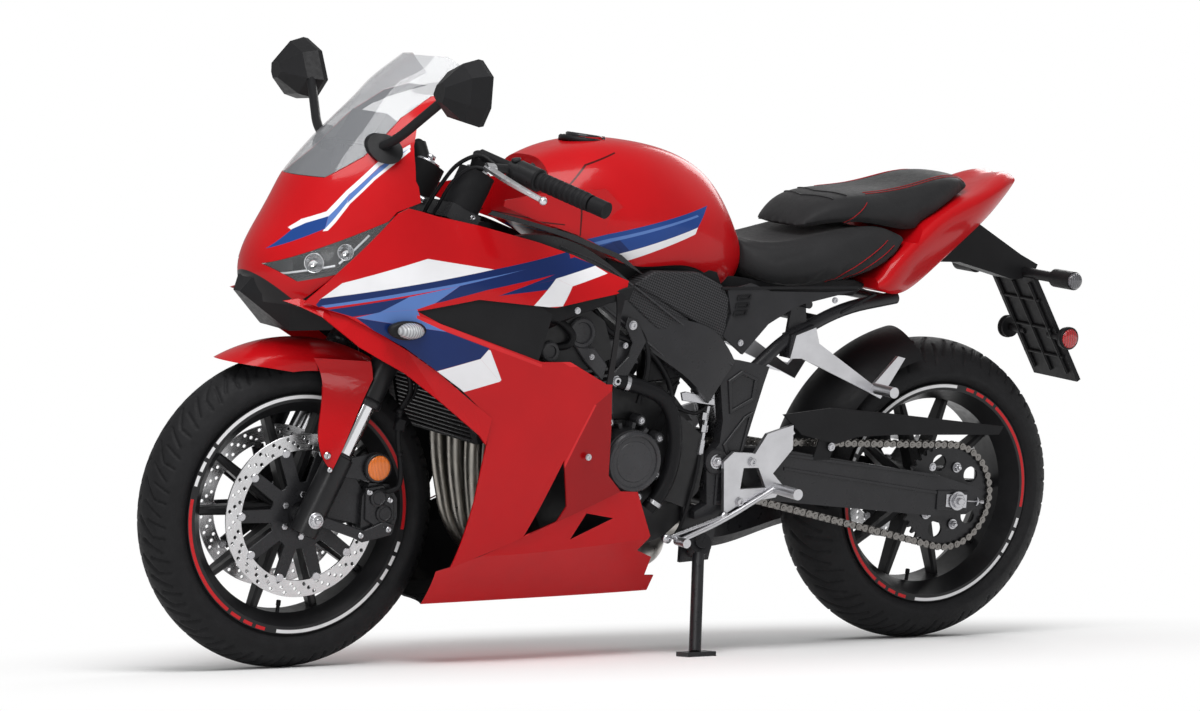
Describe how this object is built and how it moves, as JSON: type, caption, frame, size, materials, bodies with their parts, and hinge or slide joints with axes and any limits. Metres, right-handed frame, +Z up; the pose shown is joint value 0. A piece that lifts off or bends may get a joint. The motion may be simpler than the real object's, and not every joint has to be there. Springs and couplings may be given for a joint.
{
  "type": "sport motorcycle",
  "caption": "Full-fairing sport motorcycle on its side stand, with turning wheels, steerable fork and a folding side stand.",
  "frame": {"origin": "on the ground under the middle of the parked machine's outline", "axes": "+X rearwards along the wheel line, +Y to the rider's right, +Z up"},
  "size_m": [2.107, 0.8315, 1.2187],
  "materials": {
    "red_paint": "satin gloss",
    "black_plastic": "matte",
    "black_metal": "satin",
    "engine_metal": "satin",
    "tyre": "matte",
    "rim_black": "satin",
    "disc_steel": "brushed",
    "steel": "brushed",
    "chain_steel": "oiled",
    "fork_metal": "satin",
    "silver_metal": "satin",
    "seat_cover": "matte vinyl",
    "clear": "clear",
    "smoke": "smoked",
    "red_lens": "red lens",
    "grip_rubber": "matte",
    "alloy_black": "satin black"
  },
  "bodies": {
    "chassis": {"main_frame": "black_metal", "crankcase": "engine_metal", "cylinder_head": "engine_metal", "radiator": "alloy_black", "exhaust_pipes": "steel", "muffler": "steel", "fuel_tank": "red_paint", "upper_cowl": "red_paint", "windscreen": "smoke", "headlight": "clear", "dashboard": "black_plastic", "side_fairing_left": "red_paint", "side_fairing_right": "red_paint", "belly_pan": "red_paint", "fairing_duct_left": "black_plastic", "fairing_duct_right": "black_plastic", "seat_front": "seat_cover", "seat_rear": "seat_cover", "tail_cowl": "red_paint", "tail_light": "red_lens", "side_cover_left": "black_plastic", "side_cover_right": "black_plastic", "hugger": "black_plastic", "plate_holder": "black_plastic", "signal_front_left": "black_plastic", "signal_front_right": "black_plastic", "rider_step_left": "silver_metal", "rider_step_right": "silver_metal", "pillion_step_left": "silver_metal", "pillion_step_right": "silver_metal", "swingarm": "black_metal", "shock": "steel", "chain_guard": "black_plastic", "chain": "chain_steel", "rear_caliper": "alloy_black", "mirror_left": "black_plastic", "mirror_right": "black_plastic", "rear_axle": "steel"},
    "steering": {"triple_clamps": "alloy_black", "fork_left": "fork_metal", "fork_right": "fork_metal", "front_axle": "steel", "front_fender": "red_paint", "front_caliper_left": "alloy_black", "front_caliper_right": "alloy_black", "handlebar_left": "grip_rubber", "handlebar_right": "grip_rubber", "controls_left": "black_plastic", "controls_right": "black_plastic"},
    "front_wheel": {"front_tyre": "tyre", "front_rim": "rim_black", "front_disc_left": "disc_steel", "front_disc_right": "disc_steel"},
    "rear_wheel": {"rear_tyre": "tyre", "rear_rim": "rim_black", "rear_disc": "disc_steel", "rear_sprocket": "black_metal"},
    "stand": {"side_stand": "black_metal"}
  },
  "joints": [
    {"name": "steering_turn", "type": "hinge", "parent": "chassis", "child": "steering", "pos_m": [-0.61822, 0.07662, 0.49201], "axis": [0.4305, -0.1334, 0.8927], "range_deg": [-27, 27]},
    {"name": "front_wheel_spin", "type": "hinge", "parent": "steering", "child": "front_wheel", "pos_m": [-0.754, 0.10566, 0.29775], "axis": [0, 0.989, 0.1478], "continuous": true},
    {"name": "rear_wheel_spin", "type": "hinge", "parent": "chassis", "child": "rear_wheel", "pos_m": [0.696, 0.10344, 0.31258], "axis": [0, 0.989, 0.1478], "continuous": true},
    {"name": "side_stand_fold", "type": "hinge", "parent": "chassis", "child": "stand", "pos_m": [0.068, -0.04866, 0.21402], "axis": [-0.0756, -0.9472, 0.3116], "range_deg": [0, 98]}
  ]
}
